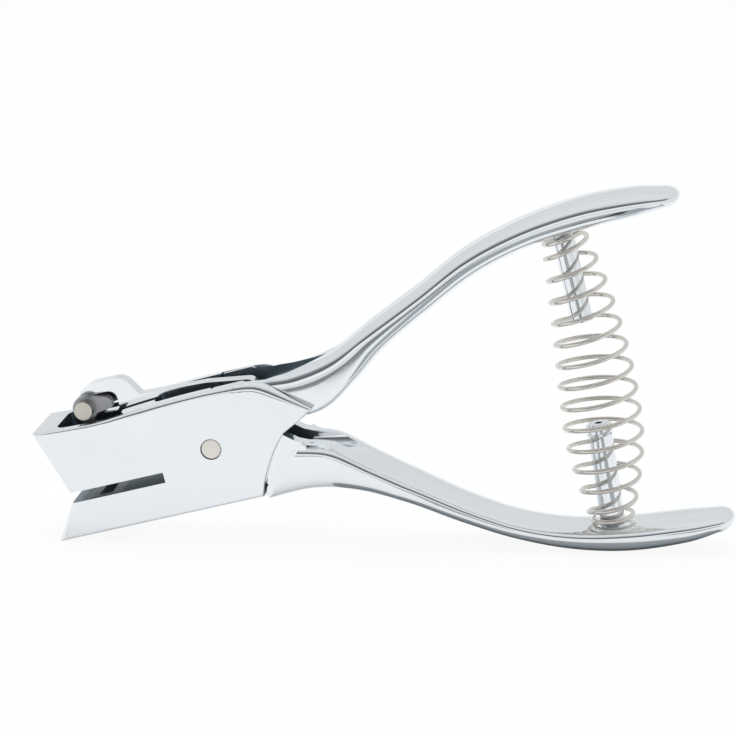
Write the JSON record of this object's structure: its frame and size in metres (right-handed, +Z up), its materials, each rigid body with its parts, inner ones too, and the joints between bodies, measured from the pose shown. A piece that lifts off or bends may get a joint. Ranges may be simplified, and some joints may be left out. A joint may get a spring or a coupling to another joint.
{
  "type": "slot punch",
  "caption": "Chrome plier-type hand punch that cuts one long slot, with curved handles, a barrel spring between them and a hooked steel arm over the jaw.",
  "frame": {"origin": "On the table under the middle of the punch, between its two faces.", "axes": "+X from the jaws to the handles, +Y across the head, +Z up."},
  "size_m": [0.1538, 0.019, 0.0799],
  "materials": {
    "head_chrome": "polished",
    "handle_chrome": "polished",
    "nickel": "satin",
    "tool_steel": "satin"
  },
  "bodies": {
    "frame": {"head_body": "head_chrome", "die_plate": "tool_steel", "upper_handle": "handle_chrome", "upper_spring_post": "handle_chrome", "pivot_rivet": "nickel", "return_spring": "nickel"},
    "lever": {"lever_arm": "head_chrome", "lower_handle": "handle_chrome", "lever_rivet": "nickel", "lower_spring_post": "handle_chrome"},
    "punch": {"slot_punch": "tool_steel", "cross_pin": "nickel"}
  },
  "joints": [
    {"name": "lever_hinge", "type": "hinge", "parent": "frame", "child": "lever", "pos_m": [-0.03685, 0, 0.02223], "axis": [0, -1, 0], "range_deg": [0, 11], "stiffness_Nm_per_rad": 2, "springref_deg": -8.59, "deforming": ["return_spring"]},
    {"name": "punch_slide", "type": "slide", "parent": "frame", "child": "punch", "axis": [0.247, 0, -0.969], "range_m": [0, 0.0051]}
  ],
  "couplings": [
    {"joint": "punch_slide", "follows": "lever_hinge", "m_per_rad": 0.0263}
  ]
}
